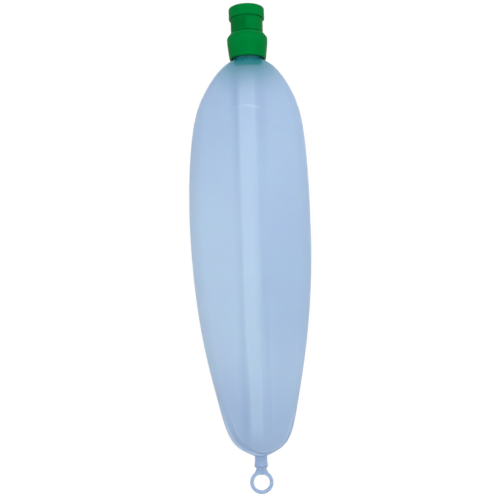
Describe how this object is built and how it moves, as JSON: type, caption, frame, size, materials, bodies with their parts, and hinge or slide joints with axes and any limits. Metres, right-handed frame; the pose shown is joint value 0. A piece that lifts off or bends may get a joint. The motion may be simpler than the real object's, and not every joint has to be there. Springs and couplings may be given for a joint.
{
  "type": "breathing bag",
  "caption": "Hanging silicone breathing bag with a long flattened body, a green conical socket connector, a sliding retaining collar and a ringed tail plug.",
  "frame": {"origin": "centre of the socket's mouth, on the plane of its rim", "axes": "+Z along the socket's axis and out of its mouth, so the bag hangs along -Z; X across the flattened bag's width, Y through its depth"},
  "size_m": [0.095, 0.0552, 0.3809],
  "materials": {
    "bushing_green": "satin green moulding, stippled waist",
    "collar_green": "satin green moulding",
    "bag_silicone": "frosted translucent pale-blue silicone",
    "plug_silicone": "translucent pale-blue silicone"
  },
  "bodies": {
    "connector": {"connector_bushing": "bushing_green"},
    "collar": {"retaining_collar": "collar_green"},
    "bag": {"breathing_bag": "bag_silicone"},
    "plug": {"tail_plug": "plug_silicone"}
  },
  "joints": [
    {"name": "collar_slide", "type": "slide", "parent": "connector", "child": "collar", "axis": [0, 0, 1], "range_m": [0, 0.0105]},
    {"name": "neck_pull_off", "type": "slide", "parent": "connector", "child": "bag", "axis": [0, 0, -1], "range_m": [0, 0.045]},
    {"name": "plug_pull_out", "type": "slide", "parent": "bag", "child": "plug", "axis": [0, 0, -1], "range_m": [0, 0.018]}
  ]
}
